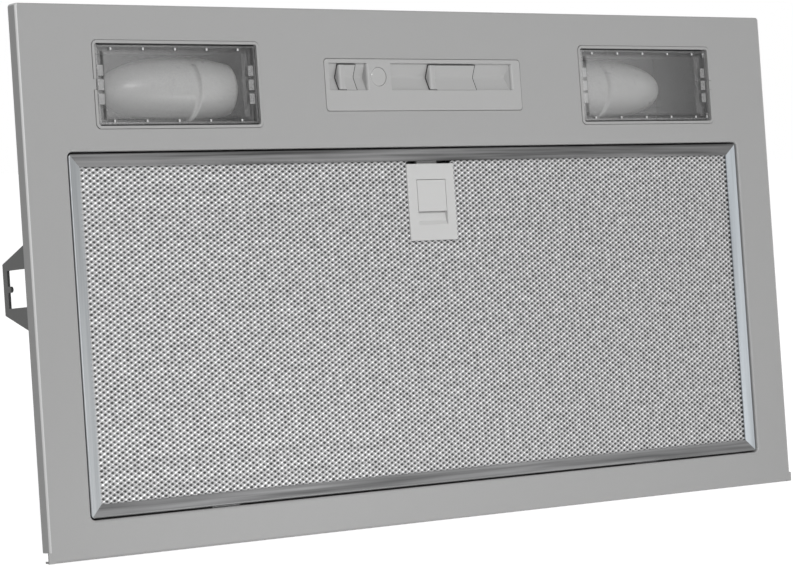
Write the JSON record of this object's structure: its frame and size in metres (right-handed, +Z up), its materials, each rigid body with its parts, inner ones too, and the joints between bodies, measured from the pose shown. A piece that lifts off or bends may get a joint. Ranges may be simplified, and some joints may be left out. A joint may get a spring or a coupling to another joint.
{
  "type": "range hood insert",
  "caption": "Built-in cooker hood insert: steel face with tilting mesh grease filter, lamps and slide controls, motor housing and round duct collar behind.",
  "frame": {"origin": "middle of the face panel's lower edge, in the plane of the folded rim that seats against the cabinet", "axes": "+X to the right along the face, +Y from the face into the cabinet along the duct collar, +Z up the face towards the controls; installed in a cabinet the face looks down"},
  "size_m": [0.5262, 0.2284, 0.2855],
  "materials": {
    "panel_paint": "silver-grey satin powder coat",
    "tray_steel": "galvanised sheet",
    "ear_paint": "satin grey paint",
    "screw_steel": "zinc plated",
    "black_plastic": "matte",
    "fan_plastic": "matte",
    "brass": "turned",
    "motor_metal": "die cast",
    "rubber": "matte",
    "housing_plastic": "fine textured moulding",
    "collar_plastic": "satin",
    "flap_plastic": "satin",
    "white_plastic": "glossy",
    "lamp_housing": "satin",
    "frosted_glass": "frosted",
    "clear_cover": "clear prismatic plastic",
    "control_plastic": "satin moulding",
    "lens_plastic": "translucent",
    "board": "laminate",
    "filter_aluminium": "bright rolled",
    "mesh_aluminium": "expanded sheet",
    "latch_plastic": "satin moulding",
    "spring_steel": "bright"
  },
  "bodies": {
    "hood": {"face_panel": "panel_paint", "body_tray": "tray_steel", "partition": "tray_steel", "side_ear_left": "ear_paint", "side_ear_right": "ear_paint", "ear_screws": "screw_steel", "inlet_ring": "black_plastic", "inlet_guard": "black_plastic", "motor_body": "motor_metal", "motor_grommets": "rubber", "motor_bracket": "tray_steel", "motor_screws": "screw_steel", "scroll_wall": "black_plastic", "motor_housing": "housing_plastic", "housing_screws": "screw_steel", "outlet_collar": "collar_plastic", "collar_screws": "screw_steel", "flap_pin": "screw_steel", "terminal_box": "housing_plastic", "terminal_block": "white_plastic", "cable_gland": "black_plastic", "capacitor": "white_plastic", "lamp_housing_left": "lamp_housing", "lamp_housing_right": "lamp_housing", "lamp_holder_left": "white_plastic", "lamp_holder_right": "white_plastic", "bulb_left": "frosted_glass", "bulb_right": "frosted_glass", "control_bezel": "control_plastic", "indicator_lens": "lens_plastic", "light_switch": "black_plastic", "speed_switch": "black_plastic", "switch_board": "board"},
    "fan": {"impeller": "fan_plastic", "motor_shaft": "screw_steel", "impeller_nut": "brass"},
    "collar_flap_left": {"flap_left": "flap_plastic"},
    "collar_flap_right": {"flap_right": "flap_plastic"},
    "cover_left": {"lamp_cover_left": "clear_cover"},
    "cover_right": {"lamp_cover_right": "clear_cover"},
    "light_knob": {"light_slider": "control_plastic"},
    "speed_knob": {"speed_slider": "control_plastic"},
    "filter": {"filter_rail_top": "filter_aluminium", "filter_rail_bottom": "filter_aluminium", "filter_rail_left": "filter_aluminium", "filter_rail_right": "filter_aluminium", "filter_front_mesh": "mesh_aluminium", "filter_core": "mesh_aluminium", "filter_rear_mesh": "mesh_aluminium", "filter_hooks": "filter_aluminium", "latch_plate": "latch_plastic", "latch_spring": "spring_steel"},
    "latch": {"latch_tab": "latch_plastic"}
  },
  "joints": [
    {"name": "filter_tilt", "type": "hinge", "parent": "hood", "child": "filter", "pos_m": [0, -0.0062, 0.0205], "axis": [1, 0, 0], "range_deg": [0, 85]},
    {"name": "latch_slide", "type": "slide", "parent": "filter", "child": "latch", "axis": [0, 0, -1], "range_m": [0, 0.005], "stiffness_N_per_m": 300, "springref_m": -0.004, "deforming": ["latch_spring"]},
    {"name": "light_slide", "type": "slide", "parent": "hood", "child": "light_knob", "axis": [1, 0, 0], "range_m": [0, 0.005]},
    {"name": "speed_slide", "type": "slide", "parent": "hood", "child": "speed_knob", "axis": [1, 0, 0], "range_m": [0, 0.019]},
    {"name": "fan_spin", "type": "hinge", "parent": "hood", "child": "fan", "pos_m": [-0.052, 0.09, 0.138], "axis": [0, 1, 0], "continuous": true},
    {"name": "flap_left_swing", "type": "hinge", "parent": "hood", "child": "collar_flap_left", "pos_m": [0.064, 0.204, 0.18], "axis": [0, 0, -1], "range_deg": [0, 75]},
    {"name": "flap_right_swing", "type": "hinge", "parent": "hood", "child": "collar_flap_right", "pos_m": [0.064, 0.204, 0.18], "axis": [0, 0, 1], "range_deg": [0, 75]},
    {"name": "cover_left_open", "type": "hinge", "parent": "hood", "child": "cover_left", "pos_m": [-0.2155, -0.0053, 0.2437], "axis": [0, 0, -1], "range_deg": [0, 90]},
    {"name": "cover_right_open", "type": "hinge", "parent": "hood", "child": "cover_right", "pos_m": [0.2155, -0.0053, 0.2437], "axis": [0, 0, 1], "range_deg": [0, 90]}
  ]
}
